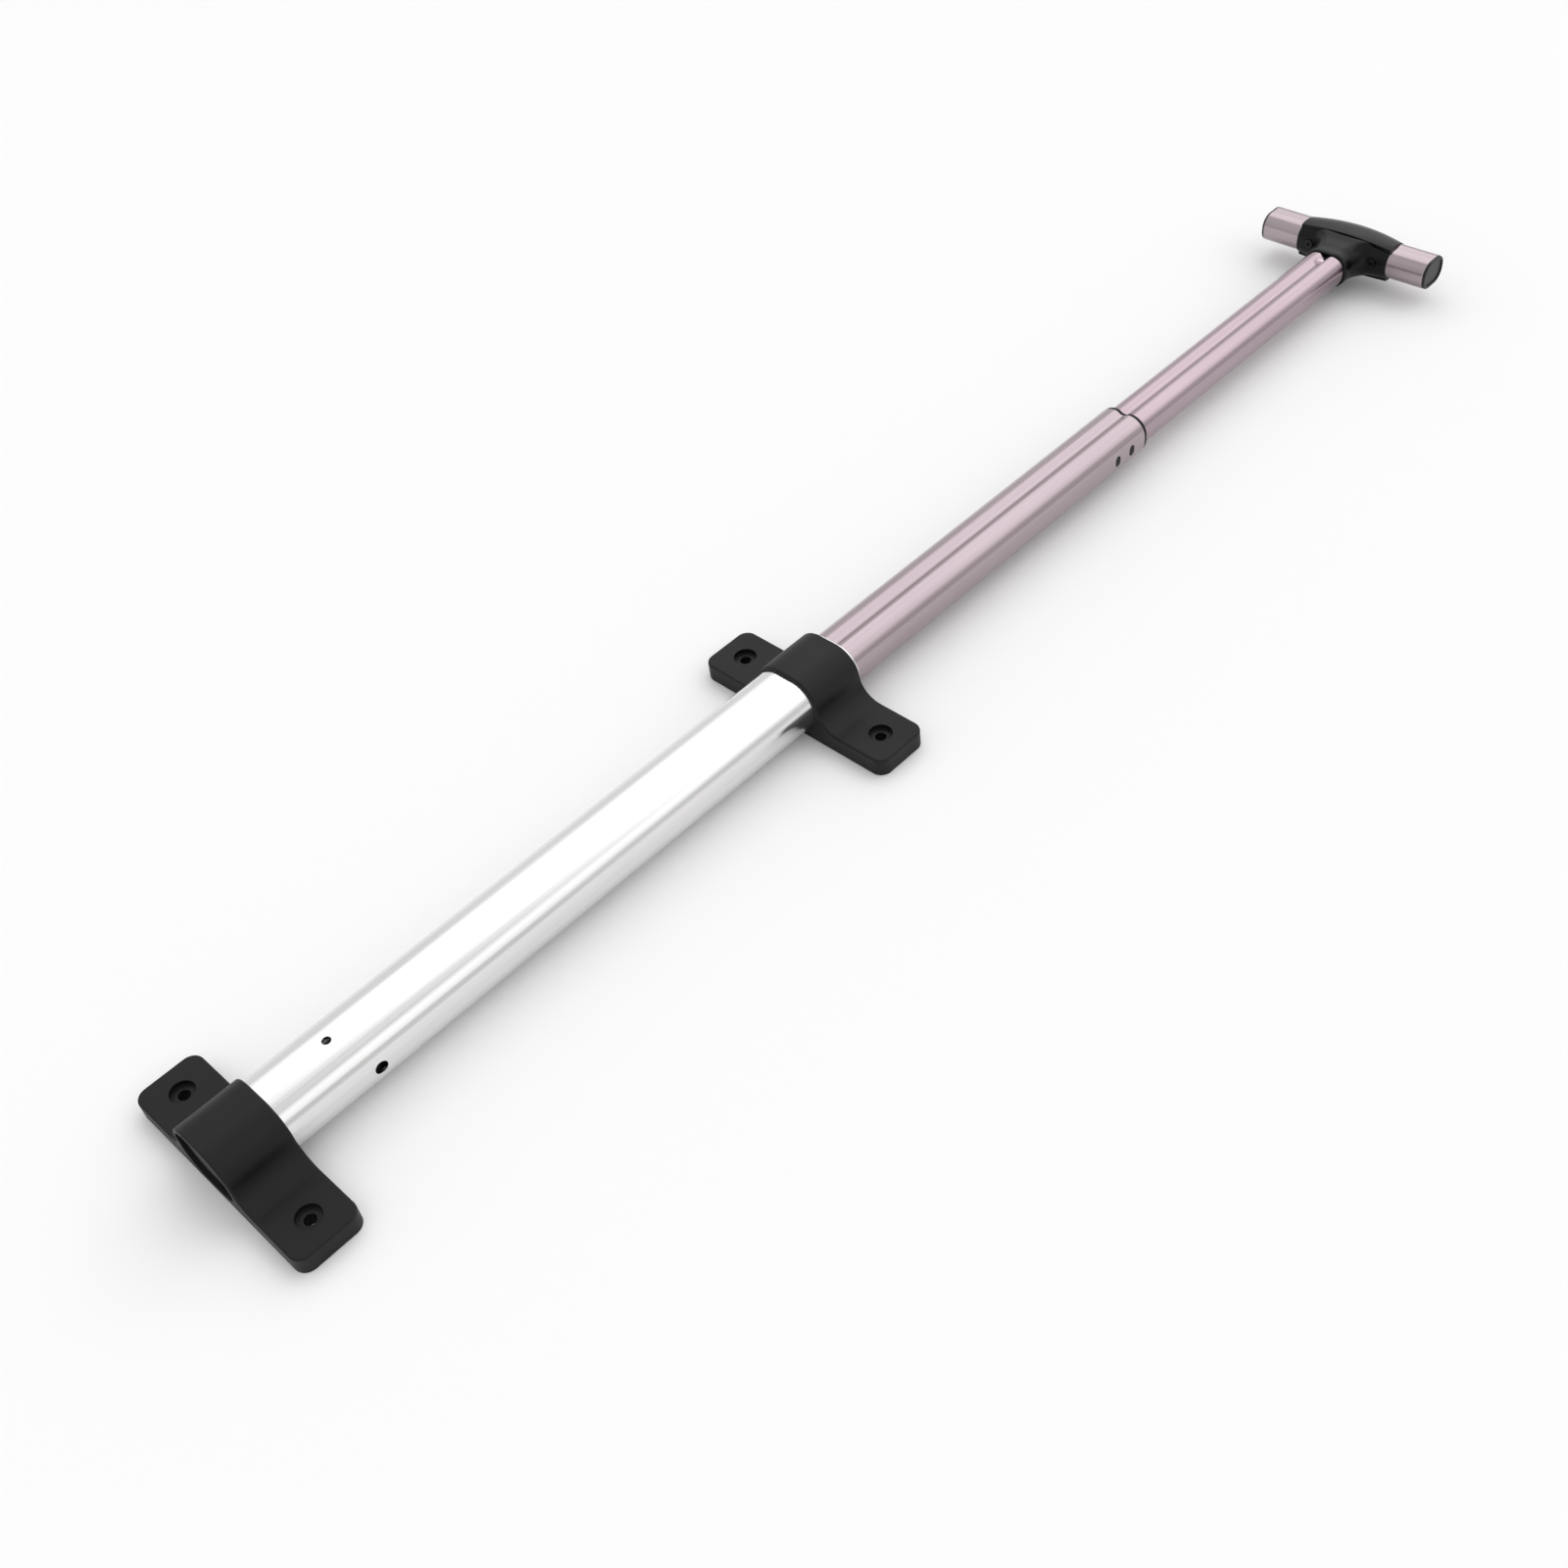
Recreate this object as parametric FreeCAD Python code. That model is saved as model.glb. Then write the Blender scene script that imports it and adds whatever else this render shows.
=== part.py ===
"""Telescopic T-handle pull rod with two saddle brackets, millimetres.

+X runs along the rod towards the handle, +Z stands off the mounting plane, and the origin is on the
mounting plane under the centre of the foot bracket. The tubes are drawn out to their full length. The
button is drawn held in, so the lock pins are withdrawn and the tubes are free to slide.
"""
import FreeCAD, Part
import math
import os

Vector = FreeCAD.Vector
X_DIR = Vector(1, 0, 0)
Y_DIR = Vector(0, 1, 0)
Z_DIR = Vector(0, 0, 1)
TOLERANCE = 0.01              # for picking edges by their place

# ---- rod layout along X
AXIS_Z = 17.8                # height of the tube axis over the mounting plane
BRACKET_SPACING = 343.0
OUTER_START = -12.5
OUTER_END = 360.5
MIDDLE_START = 283.0
MIDDLE_END = 603.0
UPPER_START = 536.0
UPPER_END = 831.5
MIDDLE_TRAVEL = 213.0
UPPER_TRAVEL = 197.0

# ---- tube sections: half width (Y), half height (Z), corner radius; groove: half width, depth
OUTER = (18.0, 14.5, 13.0)
OUTER_WALL = 1.4
MIDDLE = (15.5, 12.0, 10.5)
MIDDLE_WALL = 1.3
MIDDLE_GROOVE = (4.8, 1.6)
UPPER = (13.2, 9.7, 8.3)
UPPER_WALL = 1.2
UPPER_GROOVE = (4.4, 1.4)
NO_GROOVE = (0.0, 0.0)
PUSH_FIT = 0.05              # gap all round a piece that is pressed into a tube
SLIDE_FIT = 0.12             # gap all round a piece that slides in a tube

# ---- saddle brackets
BRACKET_WIDTH = 32.0
BRACKET_LENGTH = 121.6
BRACKET_CORNER_R = 6.2
BRACKET_EDGE_R = 1.0
BRACKET_WALL = 2.0           # arch over the tube
BRACKET_BORE_GAP = 0.1
EAR_HEIGHT = 9.5
EAR_FILLET_R = 12.0          # hollow curve from each ear up into the arch
SCREW_SPACING = 92.0
SCREW_HOLE_R = 2.8
COUNTERBORE_R = 5.9
COUNTERBORE_DEPTH = 2.5

# ---- holes and slots in the tubes
LOCK_PIN_R = 2.85
LOCK_HOLE_R = 3.2
MIDDLE_LOCK_X = 274.0
UPPER_LOCK_X = 527.0
SETTING_HOLE_X = 50.4
SETTING_HOLE_R = 2.1
TAB_SLOT = (4.5, 6.5)        # snap tab slots: width along X, height along Z
TAB_GAP = 0.12
TAB_SETBACKS = (12.0, 24.8)  # snap tabs, back from the end of the tube
BUSH_LENGTH = 27.5
BUSH_RIM = 2.2                # rim of the middle bush, past the mouth of its tube
BUSH_RIM_INSET = 0.3

# ---- foot plug
PLUG_FLANGE = 1.5
PLUG_DEPTH = 16.0
PLUG_WALL = 2.0
PLUG_FLOOR = 1.0
PLUG_RIB_DEPTH = 14.0
PLUG_RIB_HALF = 1.0

# ---- rivets
RIVET_R = 1.3
RIVET_FIT = 0.02
RIVET_HEAD_R = 2.4
RIVET_FOOT = 4.6             # how far the rivets' inner ends stay from the tube axis
MIDDLE_HEAD_RISE = 0.9
UPPER_HEAD_RISE = 0.5        # low enough to pass under the bush in the middle tube
NECK_RIVET_X = 806.0
NECK_HEAD_R = 3.6
NECK_HEAD_RISE = 1.9

# ---- lock mechanism, the same in both stages
BUTTON_TRAVEL = 4.0
PIN_TRAVEL = 2.4
MIDDLE_PIN_TIP = 16.2
UPPER_PIN_TIP = 13.8
PIN_BORE_GAP = 0.06
PIN_CHAMFER = 0.5
CROSS_PIN_R = 1.0
CROSS_PIN_HALF = 2.0
CROSS_PIN_Y = 3.5
CROSS_PIN_ROOM = 0.3
BLADE_THICKNESS = 2.0
BLADE_GAP = 0.2
BLADE_Y = (0.8, 8.6)
BLADE_LEAD = 7.0             # blade's nose, from the lock pin
BLADE_SLOT_GAP = 0.08
BLADE_END_X = 539.0
ROD_JOINT = 4.0              # overlap of the push rod and its blade
FORK_Y = -2.0
FORK_ROOT_Y = 9.0
SPRING_SEAT_Y = -10.5
LOCK_SPRING_R = 1.75
LOCK_SPRING_WIRE_R = 0.3
LOCK_SPRING_TURNS = 7
HEAD_LENGTH = 18.0           # part of a lock block that stands out of its tube
MIDDLE_SPIGOT = 25.0
UPPER_SPIGOT = 18.0
TRIGGER_HEAD_R = 4.0
TRIGGER_HEAD_Y = 4.7
TRIGGER_HEAD_X = (300.0, 313.0)
TRIGGER_SEAT_X = 299.0
TRIGGER_GAP = 0.2
ROD_R = 2.0
ROD_BORE_GAP = 0.2
ROD_END_X = 850.0
INSERT_START = 796.0

# ---- grip: half depth (X), half height (Z), corner radius
GRIP_X = 843.5
GRIP_Z = 18.3
GRIP = (11.3, 9.0, 8.0)
GRIP_WALL = 1.4
GRIP_LENGTH = 110.2
GRIP_ROD_GAP = 0.6
GRIP_STEM_GAP = 0.3
GRIP_SCREW_GAP = 0.2
CAP_FLANGE = 1.6
CAP_INSET = 0.25
CAP_EDGE_R = 0.7
CAP_DISH = (1.9, 0.7)        # recess in the cap's face: rim width, depth
CAP_PLUG_LENGTH = 9.0
CAP_PLUG_WALL = 1.8

# ---- moulded middle of the handle
SLEEVE_HALF = 30.5           # half its length
SLEEVE_STATIONS = (-1.0, -0.72, -0.36, 0.0, 0.36, 0.72, 1.0)
SHELL_GAP = 0.05
PARTING_X = 835.5            # where the front and rear shells meet
FRONT_GROWTH = (0.8, 1.7)    # front shell over the grip: at its ends, and more in the middle
PALM_X = (856.6, 4.4)
PALM_TOP = (28.5, 2.4)
PALM_BOTTOM = (8.1, -1.1)
PALM_SHOULDER_X = 847.0
PALM_SHOULDER_DROP = 0.3
PALM_CHEEK = (854.0, 2.8, 4.6)  # X at the ends, more X in the middle, Z from top and bottom
NECK_FOOT_Z = 7.1
NECK_STATIONS = (            # collar and flare: X, growth at the sides, growth on top
    (813.3, 0.55, 0.45),
    (814.2, 1.0, 0.9),
    (818.0, 1.15, 1.0),
    (823.0, 1.7, 1.2),
    (827.5, 3.3, 1.5),
    (831.5, 6.2, 2.0),
    (835.5, 10.5, 2.6),
)

# ---- palm button and its return spring
STEM_R = 3.6
STEM_START_X = 844.0
BUTTON_BASE_X = 855.2
BUTTON_SIZE = (13.0, 5.5)    # half length along Y, half height along Z
BUTTON_GAP = 0.3
BUTTON_ROOM = 3.0            # depth of the pocket in front of the button's base
RETAINER_X = 845.3
RETAINER_R = 5.2
RETAINER_THICKNESS = 1.0
RETAINER_DEPTH = 0.8
RETAINER_MOUTH = 2.0
BUTTON_SPRING_R = 3.2
BUTTON_SPRING_WIRE_R = 0.35
BUTTON_SPRING_TURNS = 5
BUTTON_SPRING_SEAT = 1.3

# ---- handle screws
HANDLE_SCREW_Y = 21.5
HANDLE_SCREW_Z = 20.0
HANDLE_SCREW_R = 1.5
HANDLE_SCREW_SEAT = 831.4
HANDLE_SCREW_TIP = 856.0
HANDLE_SCREW_GAP = 0.05
SCREW_HEAD_R = 2.6
SCREW_HEAD_HEIGHT = 1.6
SCREW_HEAD_GAP = 0.3
CROSS_SLOT = (1.6, 0.35, 0.9)   # half length, half width, depth
SCREW_ACCESS_X = 815.0


def rounded_outline(point, section, groove=NO_GROOVE):
    """Closed outline with rounded corners and an optional groove in its top and bottom sides."""
    half_width, half_height, radius = section
    groove_half, groove_depth = groove
    flat = half_width - radius
    rise = half_height - radius
    edges = []

    def line(start, end):
        if math.dist(start, end) > 1e-6:
            edges.append(Part.LineSegment(point(*start), point(*end)).toShape())

    def arc(start, middle, end):
        edges.append(Part.Arc(point(*start), point(*middle), point(*end)).toShape())

    def corner(centre_u, centre_v, start_angle):
        places = []
        for step in (0.0, 45.0, 90.0):
            angle = math.radians(start_angle + step)
            places.append((centre_u + radius * math.cos(angle), centre_v + radius * math.sin(angle)))
        arc(*places)

    def grooved_side(side):
        """Top (side = 1, run towards -u) or bottom (side = -1, run towards +u)."""
        top = side * half_height
        if groove_depth == 0.0:
            line((side * flat, top), (-side * flat, top))
            return
        bend_r = (groove_half ** 2 + groove_depth ** 2) / (4.0 * groove_depth)
        end_angle = math.atan2(bend_r - groove_depth / 2.0, -groove_half / 2.0)
        mid_angle = (math.pi / 2.0 + end_angle) / 2.0
        lip_u = groove_half + bend_r * math.cos(mid_angle)
        lip_v = half_height - bend_r + bend_r * math.sin(mid_angle)
        slope = (groove_half / 2.0, half_height - groove_depth / 2.0)
        line((side * flat, top), (side * groove_half, top))
        arc((side * groove_half, top), (side * lip_u, side * lip_v), (side * slope[0], side * slope[1]))
        arc((side * slope[0], side * slope[1]), (0.0, side * (half_height - groove_depth)),
            (-side * slope[0], side * slope[1]))
        arc((-side * slope[0], side * slope[1]), (-side * lip_u, side * lip_v), (-side * groove_half, top))
        line((-side * groove_half, top), (-side * flat, top))

    line((half_width, -rise), (half_width, rise))
    corner(flat, rise, 0.0)
    grooved_side(1)
    corner(-flat, rise, 90.0)
    line((-half_width, rise), (-half_width, -rise))
    corner(-flat, -rise, 180.0)
    grooved_side(-1)
    corner(flat, -rise, 270.0)
    return Part.Wire(edges)


def resized(section, change):
    """The same section, larger or smaller by one distance all round."""
    return tuple(size + change for size in section)


def rod_prism(section, start, end, groove=NO_GROOVE):
    """Solid bar along X on the tube axis."""
    def point(u, v):
        return Vector(start, u, AXIS_Z + v)
    return Part.Face(rounded_outline(point, section, groove)).extrude(Vector(end - start, 0, 0))


def grip_prism(section, start, end):
    """Solid bar along Y on the grip's axis."""
    def point(u, v):
        return Vector(GRIP_X + u, start, GRIP_Z + v)
    return Part.Face(rounded_outline(point, section)).extrude(Vector(0, end - start, 0))


def cylinder(radius, start, direction, length):
    return Part.makeCylinder(radius, length, Vector(*start), direction)


def block(low, high):
    size = [b - a for a, b in zip(low, high)]
    return Part.makeBox(size[0], size[1], size[2], Vector(*low))


def side_slot(x, width, height, y_start, y_end):
    """Oblong bar along Y, upright in Z."""
    radius = width / 2.0
    rise = height / 2.0 - radius
    core = block((x - radius, y_start, AXIS_Z - rise), (x + radius, y_end, AXIS_Z + rise))
    low = cylinder(radius, (x, y_start, AXIS_Z - rise), Y_DIR, y_end - y_start)
    high = cylinder(radius, (x, y_start, AXIS_Z + rise), Y_DIR, y_end - y_start)
    return core.fuse([low, high]).removeSplitter()


def coil_spring(radius, wire_radius, start, direction, length, turns):
    """Open coil spring that starts at one point and runs along a direction."""
    pitch = (length - 2.0 * wire_radius) / turns
    helix = Part.makeHelix(pitch, pitch * turns, radius)
    circle = Part.makeCircle(wire_radius, Vector(radius, 0, 0), Vector(0, 1, 0))
    spring = Part.Wire(helix).makePipeShell([Part.Wire(circle)], True, True)
    spring.translate(Vector(0, 0, wire_radius))
    turn = FreeCAD.Rotation(Z_DIR, direction)
    spring.Placement = FreeCAD.Placement(Vector(*start), turn).multiply(spring.Placement)
    return spring


# ---- brackets

def saddle_face(x):
    """Outline of a bracket across the rod: two ears, hollow curves and the arch over the tube."""
    arch_r = OUTER[2] + BRACKET_WALL
    arch_y = OUTER[0] - OUTER[2]
    arch_z = AXIS_Z + OUTER[1] - OUTER[2]
    hollow_z = EAR_HEIGHT + EAR_FILLET_R
    reach = arch_r + EAR_FILLET_R
    hollow_y = arch_y + math.sqrt(reach ** 2 - (hollow_z - arch_z) ** 2)
    join_angle = math.atan2(hollow_z - arch_z, hollow_y - arch_y)
    half_length = BRACKET_LENGTH / 2.0

    def on_arch(angle):
        return arch_y + arch_r * math.cos(angle), arch_z + arch_r * math.sin(angle)

    def on_hollow(angle):
        return hollow_y + EAR_FILLET_R * math.cos(angle), hollow_z + EAR_FILLET_R * math.sin(angle)
    join = on_arch(join_angle)
    hollow_middle = on_hollow((1.5 * math.pi + math.pi + join_angle) / 2.0)
    arch_middle = on_arch((math.pi / 2.0 + join_angle) / 2.0)
    top = arch_z + arch_r

    def place(y, z):
        return Vector(x, y, z)
    edges = [Part.LineSegment(place(-half_length, 0.0), place(half_length, 0.0)).toShape(),
             Part.LineSegment(place(-arch_y, top), place(arch_y, top)).toShape()]
    for side in (-1, 1):
        edges.append(Part.LineSegment(place(side * half_length, 0.0),
                                      place(side * half_length, EAR_HEIGHT)).toShape())
        edges.append(Part.LineSegment(place(side * half_length, EAR_HEIGHT),
                                      place(side * hollow_y, EAR_HEIGHT)).toShape())
        edges.append(Part.Arc(place(side * hollow_y, EAR_HEIGHT),
                              place(side * hollow_middle[0], hollow_middle[1]),
                              place(side * join[0], join[1])).toShape())
        edges.append(Part.Arc(place(side * join[0], join[1]), place(side * arch_middle[0], arch_middle[1]),
                              place(side * arch_y, top)).toShape())
    return Part.Face(Part.Wire(Part.__sortEdges__(edges)))


def bracket(centre_x):
    """Saddle bracket: an arch over the tube, a strap under it and an ear each side."""
    start = centre_x - BRACKET_WIDTH / 2.0
    half_length = BRACKET_LENGTH / 2.0
    body = saddle_face(start).extrude(Vector(BRACKET_WIDTH, 0, 0))
    corners = [edge for edge in body.Edges
               if abs(edge.BoundBox.ZLength - EAR_HEIGHT) < TOLERANCE
               and abs(edge.BoundBox.YMin) > half_length - TOLERANCE]
    body = body.makeFillet(BRACKET_CORNER_R, corners)
    rim = [edge for edge in body.Edges
           if edge.BoundBox.ZMin > EAR_HEIGHT - TOLERANCE
           and abs(edge.BoundBox.XLength - BRACKET_WIDTH) > TOLERANCE]
    body = body.makeFillet(BRACKET_EDGE_R, rim)
    cutters = [rod_prism(resized(OUTER, BRACKET_BORE_GAP), start - 1.0, start + BRACKET_WIDTH + 1.0)]
    for side in (-1, 1):
        y = side * SCREW_SPACING / 2.0
        seat = EAR_HEIGHT - COUNTERBORE_DEPTH
        cutters.append(cylinder(SCREW_HOLE_R, (centre_x, y, -1.0), Z_DIR, EAR_HEIGHT + 2.0))
        cutters.append(cylinder(COUNTERBORE_R, (centre_x, y, seat), Z_DIR, COUNTERBORE_DEPTH + 1.0))
    return body.cut(cutters)


# ---- tubes

def tab_slots(tube_end, half_width, depth, gap):
    """Slots (or, with a negative gap, tabs) in both side walls near the end of a tube."""
    cutters = []
    width = TAB_SLOT[0] + 2.0 * gap
    height = TAB_SLOT[1] + 2.0 * gap
    for setback in TAB_SETBACKS:
        for side in (-1, 1):
            inner = side * (half_width - depth)
            outer = side * half_width
            cutters.append(side_slot(tube_end - setback, width, height, min(inner, outer), max(inner, outer)))
    return cutters


def outer_tube():
    outside = rod_prism(OUTER, OUTER_START, OUTER_END)
    inside = rod_prism(resized(OUTER, -OUTER_WALL), OUTER_START - 1.0, OUTER_END + 1.0)
    tube = outside.cut(inside)
    tube = tube.cut(tab_slots(OUTER_END, OUTER[0] + 1.0, OUTER_WALL + 2.0, 0.0))
    for x in (MIDDLE_LOCK_X, MIDDLE_LOCK_X - MIDDLE_TRAVEL):
        tube = tube.cut(cylinder(LOCK_HOLE_R, (x, 0.0, AXIS_Z), Y_DIR, OUTER[0] + 1.0))
    punch_start = (MIDDLE_LOCK_X - MIDDLE_TRAVEL, -OUTER[0] - 1.0, AXIS_Z)
    punch_hole = cylinder(LOCK_HOLE_R, punch_start, Y_DIR, OUTER[0])
    setting_hole = cylinder(SETTING_HOLE_R, (SETTING_HOLE_X, 0.0, AXIS_Z), Z_DIR, OUTER[1] + 1.0)
    return tube.cut([punch_hole, setting_hole])


def middle_tube():
    outside = rod_prism(MIDDLE, MIDDLE_START, MIDDLE_END, MIDDLE_GROOVE)
    inside = rod_prism(resized(MIDDLE, -MIDDLE_WALL), MIDDLE_START - 1.0, MIDDLE_END + 1.0, MIDDLE_GROOVE)
    tube = outside.cut(inside)
    tube = tube.cut(tab_slots(MIDDLE_END, MIDDLE[0] + 1.0, MIDDLE_WALL + 2.0, 0.0))
    for x in (UPPER_LOCK_X, UPPER_LOCK_X - UPPER_TRAVEL):
        tube = tube.cut(cylinder(LOCK_HOLE_R, (x, 0.0, AXIS_Z), Y_DIR, MIDDLE[0] + 1.0))
    return tube.cut(rivet_holes(MIDDLE_START + MIDDLE_SPIGOT / 2.0, MIDDLE[1]))


def upper_tube():
    outside = rod_prism(UPPER, UPPER_START, UPPER_END, UPPER_GROOVE)
    inside = rod_prism(resized(UPPER, -UPPER_WALL), UPPER_START - 1.0, UPPER_END + 1.0, UPPER_GROOVE)
    tube = outside.cut(inside)
    tube = tube.cut(rivet_holes(UPPER_START + UPPER_SPIGOT / 2.0, UPPER[1]))
    return tube.cut(rivet_holes(NECK_RIVET_X, UPPER[1]))


def rivet_holes(x, half_height):
    """Cutters for one rivet hole in the top wall and one in the bottom wall."""
    start = RIVET_FOOT - RIVET_R
    length = half_height - start + 2.0
    top = cylinder(RIVET_R, (x, 0.0, AXIS_Z + start), Z_DIR, length)
    bottom = cylinder(RIVET_R, (x, 0.0, AXIS_Z - start), -Z_DIR, length)
    return [top, bottom]


def rivet_pair(x, tube_section, groove, head_r, head_rise):
    """Two domed rivets, from the grooves of a tube into the piece inside it."""
    floor = tube_section[1] - groove[1]
    dome_r = (head_r ** 2 + head_rise ** 2) / (2.0 * head_rise)
    shank_r = RIVET_R - RIVET_FIT
    rivets = []
    for side in (1, -1):
        up = Z_DIR * side
        shank = cylinder(shank_r, (x, 0.0, AXIS_Z + side * RIVET_FOOT), up, floor - RIVET_FOOT)
        dome = Part.makeSphere(dome_r, Vector(x, 0.0, AXIS_Z + side * (floor + head_rise - dome_r)))
        head_space = cylinder(head_r, (x, 0.0, AXIS_Z + side * (floor - head_rise)), up, 3.0 * head_rise)
        rivets.append(shank.fuse(dome.common(head_space)))
    tube_body = rod_prism(resized(tube_section, RIVET_FIT), x - 2.0 * head_r, x + 2.0 * head_r, groove)
    shank_space = cylinder(shank_r, (x, 0.0, AXIS_Z - 2.0 * tube_section[0]), Z_DIR, 4.0 * tube_section[0])
    return Part.Compound([rivet.cut(tube_body.cut(shank_space)) for rivet in rivets])


def guide_bush(tube_end, tube_section, tube_wall, tube_groove, inner_section, inner_groove):
    """Thin sleeve in the mouth of a tube, held by two snap tabs in each side wall."""
    start = tube_end - BUSH_LENGTH
    outside = rod_prism(resized(tube_section, -tube_wall - PUSH_FIT), start, tube_end, tube_groove)
    bore = rod_prism(resized(inner_section, SLIDE_FIT), start - 1.0, tube_end + 1.0, inner_groove)
    tabs = tab_slots(tube_end, tube_section[0] - 0.2, tube_wall + 0.3, -TAB_GAP)
    return outside.fuse(tabs).cut(bore).removeSplitter()


def outer_guide_bush():
    return guide_bush(OUTER_END, OUTER, OUTER_WALL, NO_GROOVE, MIDDLE, MIDDLE_GROOVE)


def middle_guide_bush():
    """The same sleeve for the middle tube, with a thin rim that stands out of the tube's mouth."""
    sleeve = guide_bush(MIDDLE_END, MIDDLE, MIDDLE_WALL, MIDDLE_GROOVE, UPPER, UPPER_GROOVE)
    rim_end = MIDDLE_END + BUSH_RIM
    rim = rod_prism(resized(MIDDLE, -BUSH_RIM_INSET), MIDDLE_END, rim_end, MIDDLE_GROOVE)
    bore = rod_prism(resized(UPPER, SLIDE_FIT), MIDDLE_END - 1.0, rim_end + 1.0, UPPER_GROOVE)
    return sleeve.fuse(rim.cut(bore)).removeSplitter()


def foot_plug():
    """Closes the foot end of the outer tube: a ribbed cup with a thin flange over the tube's rim."""
    flange = rod_prism(resized(OUTER, -OUTER_WALL / 3.0), OUTER_START - PLUG_FLANGE, OUTER_START)
    cup = rod_prism(resized(OUTER, -OUTER_WALL - PUSH_FIT), OUTER_START, OUTER_START + PLUG_DEPTH)
    hollow = rod_prism(resized(OUTER, -OUTER_WALL - PLUG_WALL), OUTER_START + PLUG_FLOOR,
                       OUTER_START + PLUG_DEPTH + 1.0)
    rib_half = OUTER[0] - OUTER_WALL - 1.0
    rib = block((OUTER_START, -rib_half, AXIS_Z - PLUG_RIB_HALF),
                (OUTER_START + PLUG_RIB_DEPTH, rib_half, AXIS_Z + PLUG_RIB_HALF))
    return flange.fuse([cup.cut(hollow), rib]).removeSplitter()


# ---- lock blocks, pins and springs

def lock_cavity(pin_x, slot_end):
    """Room in a lock block for the pin, its spring and the blade that draws the pin in."""
    pin_bore = cylinder(LOCK_PIN_R + PIN_BORE_GAP, (pin_x, SPRING_SEAT_Y, AXIS_Z), Y_DIR, 2.0 * OUTER[0])
    half_gap = BLADE_THICKNESS / 2.0 + BLADE_GAP
    blade_room = block((pin_x - BLADE_LEAD - 1.0, BLADE_Y[0] - 2.0 * BLADE_GAP, AXIS_Z - half_gap),
                       (slot_end, BLADE_Y[1] + 2.0 * BLADE_GAP, AXIS_Z + half_gap))
    rooms = [pin_bore, blade_room]
    for y in (CROSS_PIN_Y, CROSS_PIN_Y + PIN_TRAVEL):
        foot = (pin_x, y, AXIS_Z - CROSS_PIN_HALF - 1.0)
        rooms.append(cylinder(CROSS_PIN_R + CROSS_PIN_ROOM, foot, Z_DIR, 2.0 * CROSS_PIN_HALF + 2.0))
    return rooms


def middle_lock_block():
    spigot_end = MIDDLE_START + MIDDLE_SPIGOT
    head = rod_prism(resized(OUTER, -OUTER_WALL - SLIDE_FIT), MIDDLE_START - HEAD_LENGTH, MIDDLE_START)
    spigot = rod_prism(resized(MIDDLE, -MIDDLE_WALL - PUSH_FIT), MIDDLE_START, spigot_end, MIDDLE_GROOVE)
    plunger_bore = cylinder(TRIGGER_HEAD_R + TRIGGER_GAP, (TRIGGER_SEAT_X, TRIGGER_HEAD_Y, AXIS_Z), X_DIR,
                            spigot_end - TRIGGER_SEAT_X + 1.0)
    rivet_room = rivet_holes(MIDDLE_START + MIDDLE_SPIGOT / 2.0, MIDDLE[1])
    body = head.fuse(spigot).cut(lock_cavity(MIDDLE_LOCK_X, spigot_end))
    return body.cut([plunger_bore] + rivet_room)


def upper_lock_block():
    spigot_end = UPPER_START + UPPER_SPIGOT
    head = rod_prism(resized(MIDDLE, -MIDDLE_WALL - SLIDE_FIT), UPPER_START - HEAD_LENGTH,
                     UPPER_START, MIDDLE_GROOVE)
    spigot = rod_prism(resized(UPPER, -UPPER_WALL - PUSH_FIT), UPPER_START, spigot_end, UPPER_GROOVE)
    rod_start = BLADE_END_X - ROD_JOINT - 0.5
    rod_room = cylinder(ROD_R + ROD_BORE_GAP, (rod_start, 0.0, AXIS_Z), X_DIR, spigot_end - rod_start + 1.0)
    rivet_room = rivet_holes(UPPER_START + UPPER_SPIGOT / 2.0, UPPER[1])
    body = head.fuse(spigot).cut(lock_cavity(UPPER_LOCK_X, spigot_end))
    return body.cut([rod_room] + rivet_room)


def lock_pin(pin_x, tip_y):
    """Steel pin with a chamfered tip. Its forked tail straddles the blade."""
    body = cylinder(LOCK_PIN_R, (pin_x, FORK_Y, AXIS_Z), Y_DIR, tip_y - FORK_Y)
    tip_edge = [edge for edge in body.Edges if edge.BoundBox.YMin > tip_y - TOLERANCE]
    body = body.makeChamfer(PIN_CHAMFER, tip_edge)
    half_gap = BLADE_THICKNESS / 2.0 + BLADE_GAP
    fork = block((pin_x - 2.0 * LOCK_PIN_R, FORK_Y - 1.0, AXIS_Z - half_gap),
                 (pin_x + 2.0 * LOCK_PIN_R, FORK_ROOT_Y, AXIS_Z + half_gap))
    cross_foot = (pin_x, CROSS_PIN_Y, AXIS_Z - 2.0 * LOCK_PIN_R)
    cross_bore = cylinder(CROSS_PIN_R, cross_foot, Z_DIR, 4.0 * LOCK_PIN_R)
    return body.cut([fork, cross_bore])


def cross_pin(pin_x):
    """Small dowel that joins the lock pin's fork to the blade's slanted slot."""
    return cylinder(CROSS_PIN_R, (pin_x, CROSS_PIN_Y, AXIS_Z - CROSS_PIN_HALF), Z_DIR, 2.0 * CROSS_PIN_HALF)


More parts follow.
